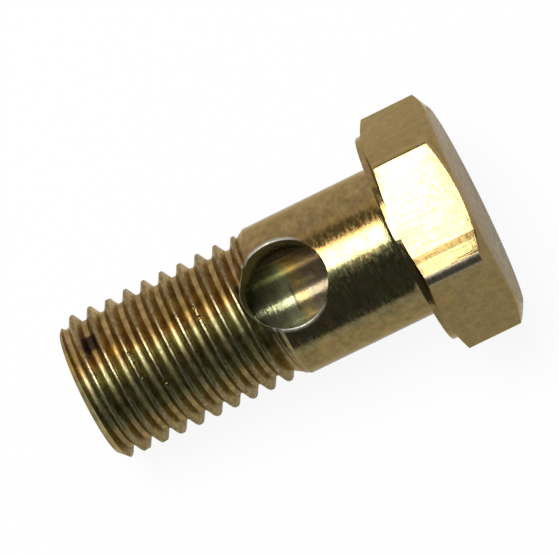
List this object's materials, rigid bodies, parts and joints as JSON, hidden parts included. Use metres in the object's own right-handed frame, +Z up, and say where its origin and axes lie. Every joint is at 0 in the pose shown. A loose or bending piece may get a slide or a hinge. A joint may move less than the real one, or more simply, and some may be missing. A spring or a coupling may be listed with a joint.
{
  "type": "banjo bolt",
  "caption": "Hollow hexagon-head bolt: washer-faced head, plain shank with a cross hole through one wall, blind bore along it and a right-hand thread.",
  "frame": {"origin": "middle of the box that the bolt fills as it lies, on the surface that it lies on", "axes": "+X along the bolt towards its head, +Z up; the cross hole faces up"},
  "size_m": [0.0332, 0.019, 0.017],
  "materials": {
    "zinc_steel": "turned steel, yellow passivated zinc plating, olive to golden with faint rainbow tints"
  },
  "bodies": {
    "root": {"banjo_bolt": "zinc_steel"}
  },
  "joints": []
}
